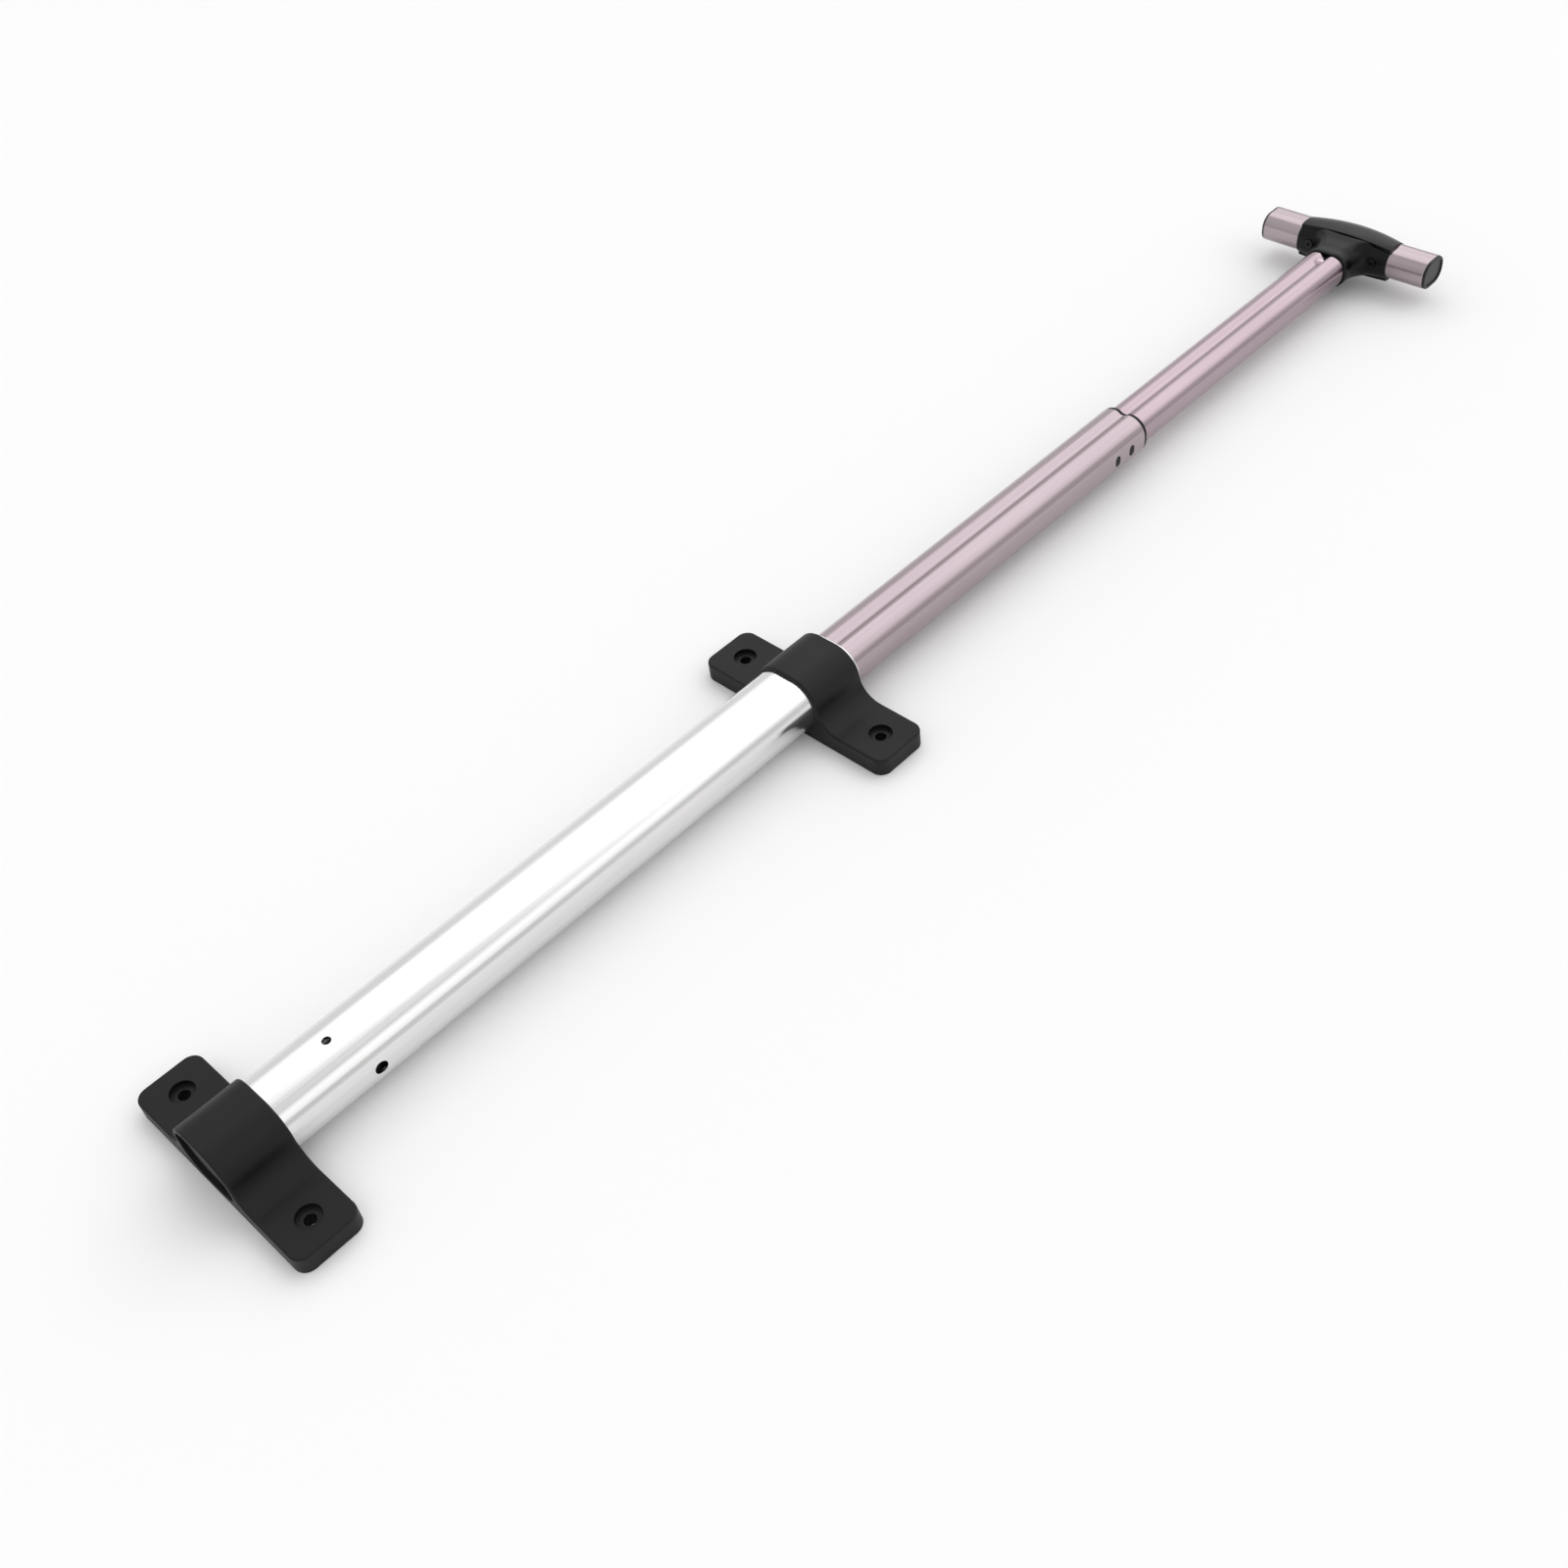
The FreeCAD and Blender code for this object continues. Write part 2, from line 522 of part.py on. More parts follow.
def lock_blade(pin_x, end_x):
    """Flat blade with a slanted slot: pushed along -X by the button's travel, it draws the pin in."""
    half = BLADE_THICKNESS / 2.0
    blade = block((pin_x - BLADE_LEAD, BLADE_Y[0], AXIS_Z - half), (end_x, BLADE_Y[1], AXIS_Z + half))
    slot_r = CROSS_PIN_R + BLADE_SLOT_GAP
    slot_foot = AXIS_Z - BLADE_THICKNESS
    depth = 2.0 * BLADE_THICKNESS
    start = Vector(pin_x, CROSS_PIN_Y, slot_foot)
    end = Vector(pin_x - BUTTON_TRAVEL, CROSS_PIN_Y + PIN_TRAVEL, slot_foot)
    bar = Part.makeBox((end - start).Length, 2.0 * slot_r, depth, Vector(0.0, -slot_r, 0.0))
    bar.Placement = FreeCAD.Placement(start, FreeCAD.Rotation(X_DIR, end - start))
    ends = [Part.makeCylinder(slot_r, depth, place, Z_DIR) for place in (start, end)]
    return blade.cut([bar] + ends)


def lock_spring(pin_x):
    """Coil spring behind the lock pin's tail."""
    seat = (pin_x, SPRING_SEAT_Y, AXIS_Z)
    length = FORK_Y - SPRING_SEAT_Y
    return coil_spring(LOCK_SPRING_R, LOCK_SPRING_WIRE_R, seat, Y_DIR, length, LOCK_SPRING_TURNS)


def middle_trigger():
    """Plunger in the middle lock block that the upper tube's foot pushes to free the middle tube."""
    blade = lock_blade(MIDDLE_LOCK_X, TRIGGER_HEAD_X[0] + 1.0)
    head = cylinder(TRIGGER_HEAD_R, (TRIGGER_HEAD_X[0], TRIGGER_HEAD_Y, AXIS_Z), X_DIR,
                    TRIGGER_HEAD_X[1] - TRIGGER_HEAD_X[0])
    return blade.fuse(head)


def push_rod():
    """Long steel rod from the button to the blade that draws the upper lock pin in."""
    blade = lock_blade(UPPER_LOCK_X, BLADE_END_X)
    shank = cylinder(ROD_R, (BLADE_END_X - 0.5, 0.0, AXIS_Z), X_DIR, ROD_END_X - BLADE_END_X + 0.5)
    joint = block((BLADE_END_X - ROD_JOINT, -ROD_R + 0.2, AXIS_Z - BLADE_THICKNESS / 2.0),
                  (BLADE_END_X, BLADE_Y[1], AXIS_Z + BLADE_THICKNESS / 2.0))
    return blade.fuse([joint, shank]).removeSplitter()


# ---- handle

def grip_tube():
    half = GRIP_LENGTH / 2.0
    tube = grip_prism(GRIP, -half, half).cut(grip_prism(resized(GRIP, -GRIP_WALL), -half - 1.0, half + 1.0))
    depth = 2.0 * GRIP[0]
    cutters = [cylinder(ROD_R + GRIP_ROD_GAP, (GRIP_X - depth, 0.0, AXIS_Z), X_DIR, depth),
               cylinder(STEM_R + GRIP_STEM_GAP, (GRIP_X, 0.0, AXIS_Z), X_DIR, depth)]
    for side in (-1, 1):
        start = (GRIP_X - depth, side * HANDLE_SCREW_Y, HANDLE_SCREW_Z)
        cutters.append(cylinder(HANDLE_SCREW_R + GRIP_SCREW_GAP, start, X_DIR, 2.0 * depth))
    return tube.cut(cutters)


def grip_end_cap(side):
    """Oval cap with a raised rim, pushed into one end of the grip tube."""
    def slab(change, near, far):
        return grip_prism(resized(GRIP, change), min(near, far), max(near, far))
    face = side * GRIP_LENGTH / 2.0
    outer = face + side * CAP_FLANGE
    inner = face - side * CAP_PLUG_LENGTH
    rim_width, dish_depth = CAP_DISH
    flange = slab(-CAP_INSET, face, outer)
    rim = [edge for edge in flange.Edges
           if edge.BoundBox.YLength < TOLERANCE and abs(edge.BoundBox.YMin - outer) < TOLERANCE]
    flange = flange.makeFillet(CAP_EDGE_R, rim).cut(slab(-rim_width, outer, outer - side * dish_depth))
    plug = slab(-GRIP_WALL - PUSH_FIT, face, inner)
    core = slab(-GRIP_WALL - CAP_PLUG_WALL, face, inner - side)
    return flange.fuse(plug.cut(core)).removeSplitter()


def crown(y):
    """1 at the middle of the handle and 0 at the ends of its moulded part."""
    return 1.0 - (y / SLEEVE_HALF) ** 2


def sleeve_stations():
    return [SLEEVE_HALF * share for share in SLEEVE_STATIONS]


def front_body():
    """Moulded jacket round the grip tube, thickest in the middle."""
    end_growth, middle_growth = FRONT_GROWTH
    wires = []
    for y in sleeve_stations():
        def point(u, v):
            return Vector(GRIP_X + u, y, GRIP_Z + v)
        wires.append(rounded_outline(point, resized(GRIP, end_growth + middle_growth * crown(y))))
    return Part.makeLoft(wires, True, False)


def rear_body():
    """Crowned palm side of the handle, from the parting plane back."""
    wires = []
    cheek_x, cheek_rise, cheek_drop = PALM_CHEEK
    for y in sleeve_stations():
        rise = crown(y)
        top = PALM_TOP[0] + PALM_TOP[1] * rise
        bottom = PALM_BOTTOM[0] + PALM_BOTTOM[1] * rise
        palm = PALM_X[0] + PALM_X[1] * rise
        cheek = cheek_x + cheek_rise * rise
        places = [(PARTING_X, top), (PALM_SHOULDER_X, top - PALM_SHOULDER_DROP), (cheek, top - cheek_drop),
                  (palm, GRIP_Z), (cheek, bottom + cheek_drop),
                  (PALM_SHOULDER_X, bottom + PALM_SHOULDER_DROP), (PARTING_X, bottom)]
        curve = Part.BSplineCurve()
        curve.interpolate([Vector(x, y, z) for x, z in places])
        closing = Part.LineSegment(Vector(PARTING_X, y, bottom), Vector(PARTING_X, y, top)).toShape()
        wires.append(Part.Wire([curve.toShape(), closing]))
    return Part.makeLoft(wires, True, False)


def neck_body():
    """Thin collar round the end of the upper tube that flares out into the front of the handle."""
    wires = []
    for x, side_growth, top_growth in NECK_STATIONS:
        top = AXIS_Z + UPPER[1] + top_growth
        half_height = (top - NECK_FOOT_Z) / 2.0
        middle = (top + NECK_FOOT_Z) / 2.0
        section = (UPPER[0] + side_growth, half_height, UPPER[2] + min(side_growth, top_growth))

        def point(u, v):
            return Vector(x, u, middle + v)
        wires.append(rounded_outline(point, section))
    return Part.makeLoft(wires, True, False)


def handle_cutters():
    """The grip tube's and the upper tube's room in the two shells."""
    half = SLEEVE_HALF + 1.0
    grip_room = grip_prism(resized(GRIP, SHELL_GAP), -half, half)
    tube_room = rod_prism(resized(UPPER, SHELL_GAP), NECK_STATIONS[0][0] - 1.0, GRIP_X)
    return [grip_room, tube_room]


def screw_cutters():
    cutters = []
    for side in (-1, 1):
        start = (SCREW_ACCESS_X, side * HANDLE_SCREW_Y, HANDLE_SCREW_Z)
        shank_depth = HANDLE_SCREW_TIP - SCREW_ACCESS_X
        head_depth = HANDLE_SCREW_SEAT - SCREW_ACCESS_X
        cutters.append(cylinder(HANDLE_SCREW_R + HANDLE_SCREW_GAP, start, X_DIR, shank_depth))
        cutters.append(cylinder(SCREW_HEAD_R + SCREW_HEAD_GAP, start, X_DIR, head_depth))
    return cutters


def handle_front_shell():
    front_half = block((SCREW_ACCESS_X, -SLEEVE_HALF, 0.0), (PARTING_X, SLEEVE_HALF, 2.0 * GRIP_Z))
    body = front_body().common(front_half).fuse(neck_body())
    return body.cut(handle_cutters() + screw_cutters())


def handle_rear_shell():
    body = rear_body().cut(handle_cutters() + screw_cutters())
    return body.cut(button_shape(BUTTON_GAP, BUTTON_BASE_X - BUTTON_ROOM))


def button_shape(gap, start_x):
    """Oblong bar along X, where the button stands in the palm side of the handle."""
    half_length, half_height = (size + gap for size in BUTTON_SIZE)

    def point(u, v):
        return Vector(start_x, u, AXIS_Z + v)
    outline = rounded_outline(point, (half_length, half_height, half_height - 0.2))
    return Part.Face(outline).extrude(Vector(2.0 * GRIP[0], 0, 0))


def push_button():
    """Palm button: an oblong pad that follows the crown of the handle, on a round stem."""
    pad = button_shape(0.0, BUTTON_BASE_X).common(rear_body())
    stem = cylinder(STEM_R, (STEM_START_X, 0.0, AXIS_Z), X_DIR, BUTTON_BASE_X - STEM_START_X + 1.0)
    socket = cylinder(ROD_R, (STEM_START_X - 1.0, 0.0, AXIS_Z), X_DIR, ROD_END_X - STEM_START_X + 1.0)
    ring_room = cylinder(RETAINER_R, (RETAINER_X, 0.0, AXIS_Z), X_DIR, RETAINER_THICKNESS)
    return pad.fuse(stem).cut([socket, ring_room.cut(retainer_bore())]).removeSplitter()


def retainer_bore():
    return cylinder(STEM_R - RETAINER_DEPTH, (RETAINER_X, 0.0, AXIS_Z), X_DIR, RETAINER_THICKNESS)


def button_retainer():
    """Snap ring on the button's stem, behind the grip tube's wall: it keeps the button in."""
    ring = cylinder(RETAINER_R, (RETAINER_X, 0.0, AXIS_Z), X_DIR, RETAINER_THICKNESS)
    mouth = block((RETAINER_X - 1.0, -RETAINER_MOUTH, AXIS_Z - 2.0 * RETAINER_R),
                  (RETAINER_X + 2.0, RETAINER_MOUTH, AXIS_Z))
    return ring.cut([retainer_bore(), mouth])


def button_spring():
    """Return spring round the push rod, from the grip tube's front wall to the button's stem."""
    start = GRIP_X - GRIP[0] + GRIP_WALL + BUTTON_SPRING_SEAT
    return coil_spring(BUTTON_SPRING_R, BUTTON_SPRING_WIRE_R, (start, 0.0, AXIS_Z), X_DIR,
                       STEM_START_X - start - 0.1, BUTTON_SPRING_TURNS)


def handle_screws():
    """Two cross-head screws that hold the front and rear shells together through the grip tube."""
    top = HANDLE_SCREW_SEAT - SCREW_HEAD_HEIGHT
    slot_length, slot_width, slot_depth = CROSS_SLOT
    screws = []
    for side in (-1, 1):
        y = side * HANDLE_SCREW_Y
        shank = cylinder(HANDLE_SCREW_R, (HANDLE_SCREW_SEAT, y, HANDLE_SCREW_Z), X_DIR,
                         HANDLE_SCREW_TIP - HANDLE_SCREW_SEAT)
        head = cylinder(SCREW_HEAD_R, (top, y, HANDLE_SCREW_Z), X_DIR, SCREW_HEAD_HEIGHT)
        cross = []
        for half_y, half_z in ((slot_length, slot_width), (slot_width, slot_length)):
            cross.append(block((top - 1.0, y - half_y, HANDLE_SCREW_Z - half_z),
                               (top + slot_depth, y + half_y, HANDLE_SCREW_Z + half_z)))
        screws.append(shank.fuse(head).cut(cross))
    return Part.Compound(screws)


def rod_guide_insert():
    """Plug in the top end of the upper tube: it backs the neck rivets and guides the push rod."""
    end = UPPER_END - 0.3
    plug = rod_prism(resized(UPPER, -UPPER_WALL - PUSH_FIT), INSERT_START, end, UPPER_GROOVE)
    bore = cylinder(ROD_R + ROD_BORE_GAP, (INSERT_START - 1.0, 0.0, AXIS_Z), X_DIR, end - INSERT_START + 2.0)
    return plug.cut([bore] + rivet_holes(NECK_RIVET_X, UPPER[1]))


NODES = {
    "foot_bracket": lambda: bracket(0.0),
    "upper_bracket": lambda: bracket(BRACKET_SPACING),
    "outer_tube": outer_tube,
    "foot_plug": foot_plug,
    "outer_guide_bush": outer_guide_bush,
    "middle_tube": middle_tube,
    "middle_guide_bush": middle_guide_bush,
    "middle_lock_block": middle_lock_block,
    "middle_block_rivets": lambda: rivet_pair(MIDDLE_START + MIDDLE_SPIGOT / 2.0, MIDDLE, MIDDLE_GROOVE,
                                              RIVET_HEAD_R, MIDDLE_HEAD_RISE),
    "middle_lock_pin": lambda: lock_pin(MIDDLE_LOCK_X, MIDDLE_PIN_TIP),
    "middle_cross_pin": lambda: cross_pin(MIDDLE_LOCK_X),
    "middle_lock_spring": lambda: lock_spring(MIDDLE_LOCK_X),
    "middle_trigger": middle_trigger,
    "upper_tube": upper_tube,
    "upper_lock_block": upper_lock_block,
    "upper_block_rivets": lambda: rivet_pair(UPPER_START + UPPER_SPIGOT / 2.0, UPPER, UPPER_GROOVE,
                                             RIVET_HEAD_R, UPPER_HEAD_RISE),
    "upper_lock_pin": lambda: lock_pin(UPPER_LOCK_X, UPPER_PIN_TIP),
    "upper_cross_pin": lambda: cross_pin(UPPER_LOCK_X),
    "upper_lock_spring": lambda: lock_spring(UPPER_LOCK_X),
    "push_rod": push_rod,
    "rod_guide_insert": rod_guide_insert,
    "neck_rivets": lambda: rivet_pair(NECK_RIVET_X, UPPER, UPPER_GROOVE, NECK_HEAD_R, NECK_HEAD_RISE),
    "handle_front_shell": handle_front_shell,
    "handle_rear_shell": handle_rear_shell,
    "handle_screws": handle_screws,
    "grip_tube": grip_tube,
    "grip_end_cap_near": lambda: grip_end_cap(-1),
    "grip_end_cap_far": lambda: grip_end_cap(1),
    "push_button": push_button,
    "button_retainer": button_retainer,
    "button_spring": button_spring,
}

os.makedirs("parts", exist_ok=True)
for name, make in NODES.items():
    shape = make()
    print(name, "valid" if shape.isValid() else "INVALID", len(shape.Solids), round(shape.Volume, 1))
    shape.exportStep(f"parts/{name}.step")
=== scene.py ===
"""Looks for the telescopic T-handle pull rod: materials, light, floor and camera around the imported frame."""
import math

import bpy
from mathutils import Matrix, Vector

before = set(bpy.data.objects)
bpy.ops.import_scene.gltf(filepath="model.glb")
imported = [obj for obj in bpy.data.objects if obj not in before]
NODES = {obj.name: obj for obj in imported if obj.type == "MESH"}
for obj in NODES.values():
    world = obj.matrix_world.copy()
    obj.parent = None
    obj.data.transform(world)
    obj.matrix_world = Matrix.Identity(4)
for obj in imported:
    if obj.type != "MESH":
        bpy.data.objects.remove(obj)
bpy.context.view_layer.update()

# ---- camera: the photograph's viewing angle
CAMERA_PLACE = (-0.09073, -0.47299, 0.60050)
CAMERA_BACK = (-0.45800, -0.53133, 0.71269)    # from what it looks at, towards the camera
CAMERA_ROLL = math.radians(-8.2554)
CAMERA_LENS = 40.1535                          # focal length and sensor width, in millimetres
CAMERA_SENSOR = 36.0
CAMERA_CLIP = (0.01, 50.0)

# ---- floor
FLOOR_HALF = 40.0            # far enough out to keep its edge low in views near the ground
FLOOR_GAP = 0.0004           # keeps it off the brackets' undersides
FLOOR_GRAIN = 700.0
FLOOR_TONES = ((0.925, 0.925, 0.925), (0.935, 0.935, 0.935))
FLOOR_ROUGHNESS = 0.75
FLOOR_IOR = 1.3

# ---- room: strengths of its light, and cosines between a ray and a direction where a light fades in
ROOM_NEAR = 0.66             # low down on the camera's side
ROOM_FAR = 0.84              # low down opposite the camera
ROOM_TOP = 0.84              # overhead
ROOM_AWAY = (0.65, 0.76, 0.0)
ROOM_AWAY_RANGE = (-0.9, 0.9)
ROOM_UP = (0.0, 0.0, 1.0)
ROOM_UP_RANGE = (0.15, 0.9)
LIGHT_EXTRA = 0.92           # added by the long soft light hung over the rod
LIGHT_EDGES = (              # inward direction of each of its edges, and where it fades in
    ((0.0, -0.530, 0.848), (0.0, 0.26)),
    ((0.0, 0.259, 0.966), (0.10, 0.50)),
    ((0.95, 0.30, 0.0), (0.10, 0.45)),
)
STRIP_EXTRA = 0.55           # added by the narrow soft light on the camera's side
STRIP_DIRECTION = (0.25, -0.78, 0.57)
STRIP_RANGE = (0.93, 0.985)

# ---- all materials: texture scales are per metre, and ranges of noise are where it goes from low to high
NOISE_RANGE = (0.3, 0.7)
BEVEL_SAMPLES = 6

# ---- drawn aluminium
METAL_COAT = 0.05
METAL_COAT_ROUGHNESS = 0.22
METAL_EDGE = 0.00035         # radius that its sharp edges are shaded with
DRAW_STRETCH = 160.0         # length of a draw line over its width
LINE_SCALE = 1500.0
BAND_SCALE = 420.0
CLOUD_SCALE = 26.0
CLOUD_STRETCH = (2.0, 1.0, 1.0)
GRAIN_SCALE = 5200.0
LINE_TONE = 0.45             # shares of the lines, bands and clouds in the colour
BAND_TONE = 0.30
CLOUD_TONE = 0.25
TONE_RANGE = (0.36, 0.64)
LINE_ROUGHNESS = (-0.05, 0.06)
GRAIN_ROUGHNESS = (-0.02, 0.02)
DRAW_RELIEF = (0.10, 0.00004)     # strength, and depth in metres
GRAIN_RELIEF = 0.25

# ---- handling marks on the aluminium
SCUFF_SCALE = 330.0
SCUFF_STRETCH = 14.0
SCUFF_SHIFT = (3.1, 1.7, 4.2)
SCUFF_RANGE = (0.70, 0.78)
PATCH_SCALE = 18.0           # patches of the tube that have scuffs
PATCH_SHIFT = (5.3, 0.4, 2.2)
PATCH_RANGE = (0.52, 0.62)
SCUFF_SHADE = 0.45           # a scuff's colour over the dark tone
SCUFF_ROUGHNESS = 0.25

# ---- moulded plastic
PLASTIC_EDGE = 0.0004
FINE_GRAIN = 2.6             # scale of the fine noise over that of the grain's cells
PLASTIC_CLOUD_SCALE = 45.0
PLASTIC_CLOUD_RANGE = (0.35, 0.65)
PLASTIC_SHADE = 0.72         # the clouds' dark tone over the base colour
DUST_SCALE = 900.0
DUST_SHIFT = (1.3, 7.7, 2.9)
DUST_RANGE = (0.66, 0.80)
DUST_COVER = (0.0, 0.35)
DUST_GAIN = 1.9
DUST_LIFT = 0.004
CELL_RELIEF = 0.7
FINE_RELIEF = 0.5
CLOUD_ROUGHNESS = (-0.05, 0.05)
FINE_ROUGHNESS = (-0.04, 0.04)
PLASTIC_BUMP = 0.35

# ---- turned metal
TURNING_SCALE = 2400.0
TURNING_STRETCH = (1.0, 6.0, 1.0)
TURNING_ROUGHNESS = (-0.06, 0.08)
TURNING_RELIEF = (0.08, 0.00003)
TARNISH_SCALE = 160.0
TARNISH_TONE_RANGE = (0.35, 0.7)
TARNISH_ROUGH_RANGE = (0.4, 0.8)
TARNISH_ROUGHNESS = (0.0, 0.10)


# ---- node helpers

class NodeTree:
    """Short calls for the nodes that the materials and the room share."""

    def __init__(self, tree):
        self.tree = tree

    def new(self, kind, **settings):
        node = self.tree.nodes.new(kind)
        for key, setting in settings.items():
            setattr(node, key, setting)
        return node

    def feed(self, socket, value):
        """Links the socket to an output, or sets it to a number or vector."""
        if isinstance(value, bpy.types.NodeSocket):
            self.tree.links.new(value, socket)
        else:
            socket.default_value = value

    def ramp(self, value, source, target=(0.0, 1.0), interpolation="LINEAR"):
        """Maps the source range to the target range and holds the ends."""
        node = self.new("ShaderNodeMapRange", clamp=True, interpolation_type=interpolation)
        self.feed(node.inputs["Value"], value)
        for socket, number in zip(("From Min", "From Max", "To Min", "To Max"), (*source, *target)):
            self.feed(node.inputs[socket], number)
        return node.outputs["Result"]

    def combine(self, operation, a, b):
        node = self.new("ShaderNodeMath", operation=operation)
        self.feed(node.inputs[0], a)
        self.feed(node.inputs[1], b)
        return node.outputs["Value"]


class Look(NodeTree):
    """One procedural material, with its textures in object space."""

    def __init__(self, name, roughness, metallic=0.0, ior=1.5, coat=0.0, coat_roughness=0.1):
        self.material = bpy.data.materials.new(name)
        self.material.use_nodes = True
        super().__init__(self.material.node_tree)
        self.shader = self.tree.nodes["Principled BSDF"]
        self.place = self.new("ShaderNodeTexCoord").outputs["Object"]
        self.surface("Metallic", metallic)
        self.surface("Roughness", roughness)
        self.surface("IOR", ior)
        self.surface("Coat Weight", coat)
        self.surface("Coat Roughness", coat_roughness)

    def surface(self, socket, value):
        self.feed(self.shader.inputs[socket], value)

    def noise(self, scale, stretch=(1.0, 1.0, 1.0), detail=3.0, roughness=0.5, shift=(0.0, 0.0, 0.0)):
        """Noise whose scale is divided by the stretch along each axis."""
        mapping = self.new("ShaderNodeMapping")
        self.feed(mapping.inputs["Scale"], [scale / factor for factor in stretch])
        self.feed(mapping.inputs["Location"], shift)
        self.feed(mapping.inputs["Vector"], self.place)
        texture = self.new("ShaderNodeTexNoise")
        self.feed(texture.inputs["Scale"], 1.0)
        self.feed(texture.inputs["Detail"], detail)
        self.feed(texture.inputs["Roughness"], roughness)
        self.feed(texture.inputs["Vector"], mapping.outputs["Vector"])
        return texture.outputs["Fac"]

    def cells(self, scale):
        """Distance to the nearest random point, for grained plastic."""
        texture = self.new("ShaderNodeTexVoronoi")
        self.feed(texture.inputs["Scale"], scale)
        self.feed(texture.inputs["Vector"], self.place)
        return texture.outputs["Distance"]

    def mix(self, factor, a, b):
        """Blend of two colours, each an RGB triple or a colour output."""
        node = self.new("ShaderNodeMix", data_type="RGBA")
        colour_inputs = [socket for socket in node.inputs if socket.type == "RGBA"]
        colour_output = next(socket for socket in node.outputs if socket.type == "RGBA")
        self.feed(node.inputs["Factor"], factor)
        for socket, colour in zip(colour_inputs, (a, b)):
            self.feed(socket, (*colour, 1.0) if isinstance(colour, tuple) else colour)
        return colour_output

    def weighted(self, *parts):
        """Sum of the values, each times its share."""
        total = 0.0
        for value, share in parts:
            total = self.combine("ADD", total, self.combine("MULTIPLY", value, share))
        return total

    def bump(self, height, strength, depth, edge=0.0):
        """Surface relief, over sharp edges shaded as if they had the radius given."""
        node = self.new("ShaderNodeBump")
        self.feed(node.inputs["Strength"], strength)
        self.feed(node.inputs["Distance"], depth)
        self.feed(node.inputs["Height"], height)
        if edge:
            soft = self.new("ShaderNodeBevel", samples=BEVEL_SAMPLES)
            self.feed(soft.inputs["Radius"], edge)
            self.feed(node.inputs["Normal"], soft.outputs["Normal"])
        self.surface("Normal", node.outputs["Normal"])


def stretched(axis, factor):
    """Stretch along one axis only."""
    return [factor if index == axis else 1.0 for index in range(3)]


def around(centre, changes):
    return tuple(centre + change for change in changes)


def shaded(colour, factor):
    return tuple(factor * channel for channel in colour)


# ---- materials

def drawn_aluminium(name, light, dark, roughness, axis=0, marks=0.0):
    """Anodised tube: fine draw lines along one axis, slight clouding, and sparse handling marks."""
    look = Look(name, roughness, metallic=1.0, coat=METAL_COAT, coat_roughness=METAL_COAT_ROUGHNESS)
    lines = look.noise(LINE_SCALE, stretched(axis, DRAW_STRETCH), detail=4.0, roughness=0.6)
    bands = look.noise(BAND_SCALE, stretched(axis, DRAW_STRETCH), detail=2.0)
    clouds = look.noise(CLOUD_SCALE, CLOUD_STRETCH)
    grain = look.noise(GRAIN_SCALE, detail=1.0)
    tone = look.weighted((lines, LINE_TONE), (bands, BAND_TONE), (clouds, CLOUD_TONE))
    colour = look.mix(look.ramp(tone, TONE_RANGE), dark, light)
    rough = look.combine("ADD", look.ramp(lines, NOISE_RANGE, around(roughness, LINE_ROUGHNESS)),
                         look.ramp(grain, NOISE_RANGE, GRAIN_ROUGHNESS))
    if marks:
        scuffs = handling_marks(look, axis, marks)
        colour = look.mix(scuffs, colour, shaded(dark, SCUFF_SHADE))
        rough = look.combine("ADD", rough, look.combine("MULTIPLY", scuffs, SCUFF_ROUGHNESS))
    look.surface("Base Color", colour)
    look.surface("Roughness", rough)
    look.bump(look.weighted((lines, 1.0), (grain, GRAIN_RELIEF)), *DRAW_RELIEF, edge=METAL_EDGE)
    return look.material


def handling_marks(look, axis, strength):
    """Short scuffs along the tube, in some patches of it only."""
    scuffs = look.noise(SCUFF_SCALE, stretched(axis, SCUFF_STRETCH), detail=2.0, shift=SCUFF_SHIFT)
    patches = look.noise(PATCH_SCALE, detail=1.0, shift=PATCH_SHIFT)
    inside = look.combine("MULTIPLY", look.ramp(scuffs, SCUFF_RANGE), look.ramp(patches, PATCH_RANGE))
    return look.combine("MULTIPLY", inside, strength)


def moulded_plastic(name, base, roughness, ior, grain_size, grain_depth):
    """Black plastic: moulded grain, faint clouding of its colour and gloss, and sparse paler specks."""
    look = Look(name, roughness, ior=ior)
    grain = look.cells(1.0 / grain_size)
    fine = look.noise(FINE_GRAIN / grain_size, detail=2.0)
    clouds = look.noise(PLASTIC_CLOUD_SCALE)
    dust = look.ramp(look.noise(DUST_SCALE, detail=2.0, shift=DUST_SHIFT), DUST_RANGE, DUST_COVER)
    paler = tuple(DUST_GAIN * channel + DUST_LIFT for channel in base)
    colour = look.mix(look.ramp(clouds, PLASTIC_CLOUD_RANGE), shaded(base, PLASTIC_SHADE), base)
    rough = look.combine("ADD", look.ramp(clouds, NOISE_RANGE, around(roughness, CLOUD_ROUGHNESS)),
                         look.ramp(fine, NOISE_RANGE, FINE_ROUGHNESS))
    look.surface("Base Color", look.mix(dust, colour, paler))
    look.surface("Roughness", rough)
    relief = look.weighted((grain, CELL_RELIEF), (fine, FINE_RELIEF))
    look.bump(relief, PLASTIC_BUMP, grain_depth, edge=PLASTIC_EDGE)
    return look.material


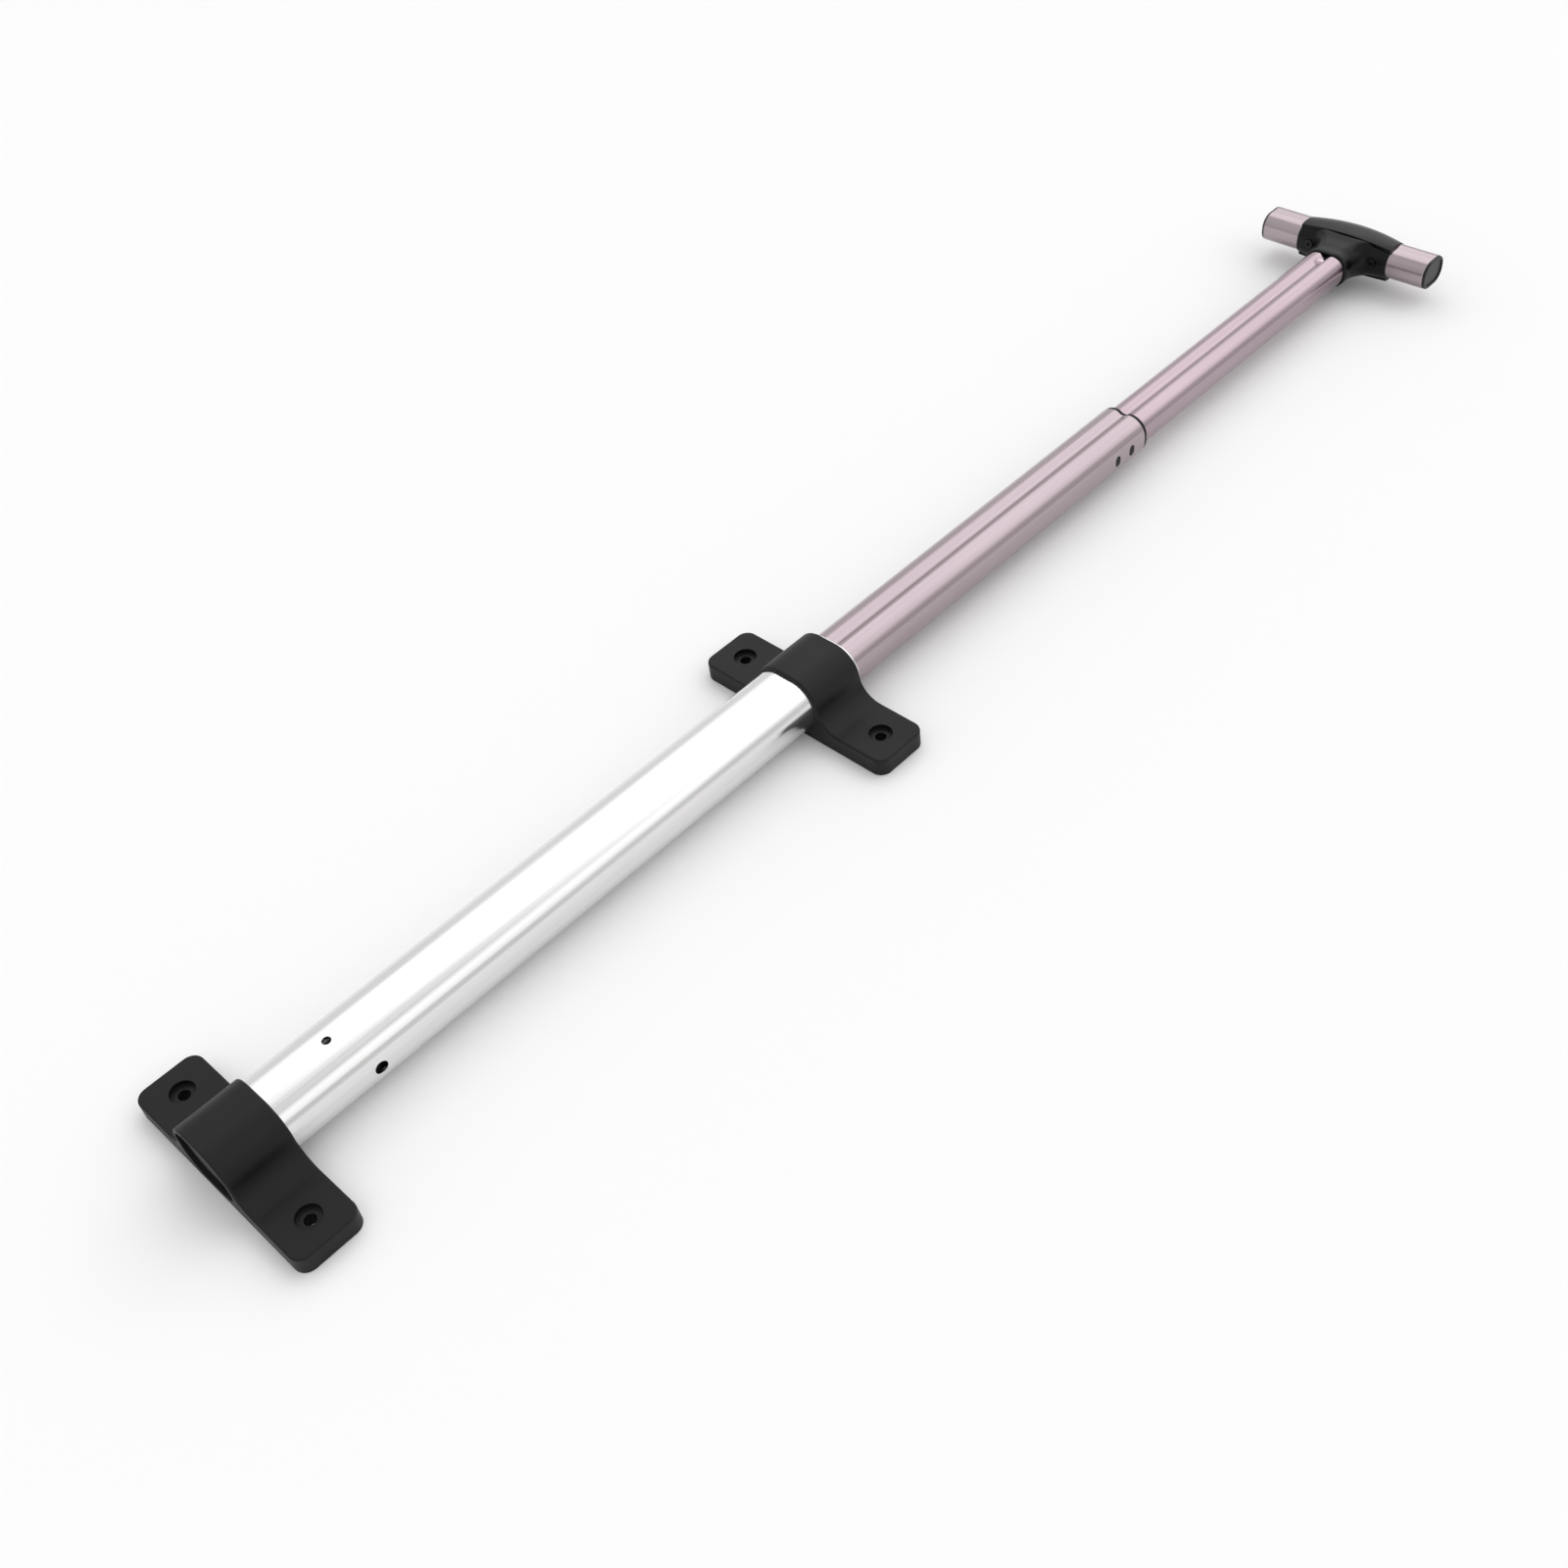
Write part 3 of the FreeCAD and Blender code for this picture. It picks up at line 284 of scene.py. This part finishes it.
def turned_metal(name, light, dark, roughness):
    """Metal with short machining marks and a little tarnish."""
    look = Look(name, roughness, metallic=1.0)
    marks = look.noise(TURNING_SCALE, TURNING_STRETCH, detail=2.0)
    tarnish = look.noise(TARNISH_SCALE, detail=4.0)
    rough = look.combine("ADD", look.ramp(marks, NOISE_RANGE, around(roughness, TURNING_ROUGHNESS)),
                         look.ramp(tarnish, TARNISH_ROUGH_RANGE, TARNISH_ROUGHNESS))
    look.surface("Base Color", look.mix(look.ramp(tarnish, TARNISH_TONE_RANGE), light, dark))
    look.surface("Roughness", rough)
    look.bump(marks, *TURNING_RELIEF)
    return look.material


def give(material, *names):
    for name in names:
        slots = NODES[name].data.materials
        slots.clear()
        slots.append(material)


def add_tube_materials():
    give(drawn_aluminium("silver_anodised", light=(0.805, 0.795, 0.790), dark=(0.715, 0.705, 0.712),
                         roughness=0.19, marks=0.8),
         "outer_tube")
    give(drawn_aluminium("rose_anodised", light=(0.435, 0.368, 0.392), dark=(0.375, 0.310, 0.336),
                         roughness=0.20),
         "middle_tube")
    give(drawn_aluminium("rose_anodised_upper", light=(0.435, 0.350, 0.388), dark=(0.370, 0.288, 0.326),
                         roughness=0.19),
         "upper_tube")
    give(drawn_aluminium("rose_anodised_grip", light=(0.435, 0.372, 0.392), dark=(0.375, 0.314, 0.336),
                         roughness=0.19, axis=1),
         "grip_tube")


def add_plastic_materials():
    give(moulded_plastic("bracket_plastic", base=(0.0060, 0.0062, 0.0070), roughness=0.50, ior=1.34,
                         grain_size=0.00042, grain_depth=0.00005),
         "foot_bracket", "upper_bracket")
    give(moulded_plastic("handle_plastic", base=(0.0035, 0.0037, 0.0042), roughness=0.26, ior=1.28,
                         grain_size=0.00030, grain_depth=0.00002),
         "handle_front_shell", "handle_rear_shell")
    give(moulded_plastic("button_plastic", base=(0.008, 0.008, 0.009), roughness=0.46, ior=1.4,
                         grain_size=0.00036, grain_depth=0.00005),
         "push_button")
    give(moulded_plastic("cap_plastic", base=(0.016, 0.016, 0.018), roughness=0.42, ior=1.4,
                         grain_size=0.00036, grain_depth=0.00004),
         "grip_end_cap_near", "grip_end_cap_far")
    give(moulded_plastic("inner_plastic", base=(0.004, 0.004, 0.0045), roughness=0.42, ior=1.3,
                         grain_size=0.00045, grain_depth=0.00003),
         "foot_plug", "outer_guide_bush", "middle_guide_bush", "middle_lock_block", "upper_lock_block",
         "rod_guide_insert")


def add_turned_materials():
    give(turned_metal("rose_rivet", light=(0.60, 0.50, 0.53), dark=(0.48, 0.39, 0.42), roughness=0.30),
         "neck_rivets")
    give(turned_metal("bright_steel", light=(0.62, 0.62, 0.63), dark=(0.42, 0.42, 0.43), roughness=0.30),
         "middle_block_rivets", "middle_lock_pin", "middle_cross_pin", "middle_trigger",
         "upper_block_rivets", "upper_lock_pin", "upper_cross_pin", "push_rod")
    # painted shade: the screws are coloured near black so they look as dark as the shade inside their screw
    # recesses
    give(turned_metal("screw_steel_painted_shade", light=(0.040, 0.040, 0.043), dark=(0.024, 0.024, 0.027), roughness=0.42),
         "handle_screws")
    give(turned_metal("spring_steel", light=(0.45, 0.45, 0.47), dark=(0.28, 0.28, 0.30), roughness=0.28),
         "middle_lock_spring", "upper_lock_spring", "button_retainer", "button_spring")


# ---- stage, light and camera

def add_floor():
    mesh = bpy.data.meshes.new("floor")
    corners = [(x * FLOOR_HALF, y * FLOOR_HALF, -FLOOR_GAP) for x, y in ((-1, -1), (1, -1), (1, 1), (-1, 1))]
    mesh.from_pydata(corners, [], [(0, 1, 2, 3)])
    floor = bpy.data.objects.new("floor", mesh)
    bpy.context.scene.collection.objects.link(floor)
    look = Look("floor_paper", FLOOR_ROUGHNESS, ior=FLOOR_IOR)
    look.surface("Base Color", look.mix(look.noise(FLOOR_GRAIN), *FLOOR_TONES))
    mesh.materials.append(look.material)


def add_room():
    """Even studio light from all round, with a long soft light over the rod and a narrow one beside it.

    Low down it is dimmer on the camera's side than behind the rod.
    """
    world = bpy.data.worlds.new("studio")
    bpy.context.scene.world = world
    world.use_nodes = True
    sky = NodeTree(world.node_tree)
    ray = sky.new("ShaderNodeTexCoord").outputs["Generated"]

    def fade(direction, cosines, target=(0.0, 1.0)):
        node = sky.new("ShaderNodeVectorMath", operation="DOT_PRODUCT")
        sky.feed(node.inputs[0], ray)
        sky.feed(node.inputs[1], Vector(direction).normalized())
        return sky.ramp(node.outputs["Value"], cosines, target, "SMOOTHSTEP")

    low = fade(ROOM_AWAY, ROOM_AWAY_RANGE, (ROOM_NEAR, ROOM_FAR))
    height = fade(ROOM_UP, ROOM_UP_RANGE)
    room = sky.combine("ADD", sky.combine("MULTIPLY", low, sky.combine("SUBTRACT", 1.0, height)),
                       sky.combine("MULTIPLY", height, ROOM_TOP))
    light = LIGHT_EXTRA
    for inward, cosines in LIGHT_EDGES:
        light = sky.combine("MULTIPLY", light, fade(inward, cosines))
    strip = fade(STRIP_DIRECTION, STRIP_RANGE, (0.0, STRIP_EXTRA))
    background = world.node_tree.nodes["Background"]
    sky.feed(background.inputs["Color"], (1.0, 1.0, 1.0, 1.0))
    sky.feed(background.inputs["Strength"], sky.combine("ADD", room, sky.combine("ADD", light, strip)))


def add_camera():
    data = bpy.data.cameras.new("camera")
    data.sensor_width = CAMERA_SENSOR
    data.lens = CAMERA_LENS
    data.clip_start, data.clip_end = CAMERA_CLIP
    camera = bpy.data.objects.new("camera", data)
    bpy.context.scene.collection.objects.link(camera)
    back = Vector(CAMERA_BACK).normalized()
    level = (-back).cross(Vector((0, 0, 1))).normalized()
    upright = back.cross(level)
    right = math.cos(CAMERA_ROLL) * level + math.sin(CAMERA_ROLL) * upright
    up = math.cos(CAMERA_ROLL) * upright - math.sin(CAMERA_ROLL) * level
    axes = Matrix((right, up, back)).transposed().to_4x4()
    camera.matrix_world = Matrix.Translation(CAMERA_PLACE) @ axes
    bpy.context.scene.camera = camera


add_tube_materials()
add_plastic_materials()
add_turned_materials()
add_floor()
add_room()
add_camera()
bpy.context.scene.view_settings.view_transform = "Standard"
